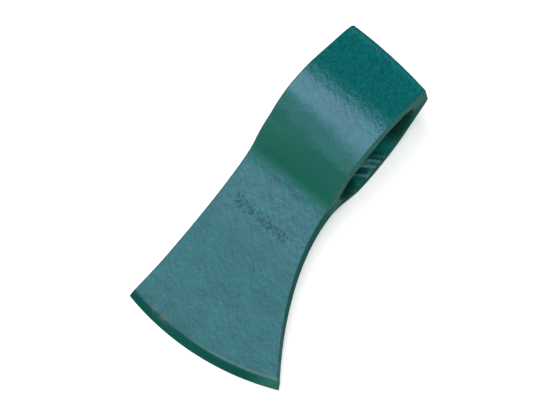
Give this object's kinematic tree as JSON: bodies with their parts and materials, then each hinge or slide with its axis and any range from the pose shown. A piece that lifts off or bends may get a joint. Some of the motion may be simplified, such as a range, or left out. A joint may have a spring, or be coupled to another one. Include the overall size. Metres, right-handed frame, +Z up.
{
  "type": "steel axe head",
  "caption": "Forged steel axe head with a flaring blade, a bevelled curved edge and an oval shaft hole for a wooden handle.",
  "frame": {"origin": "middle of the head's footprint, on the surface it lies on", "axes": "+X from the cutting edge towards the poll, +Y from the heel side to the toe side along the shaft hole, +Z up from the surface it lies on"},
  "size_m": [0.1888, 0.0952, 0.0508],
  "materials": {
    "painted_steel": "deep teal semi-gloss paint, sprayed over a forged surface, worn through in places along the bevel"
  },
  "bodies": {
    "root": {"axe_head": "painted_steel"}
  },
  "joints": []
}
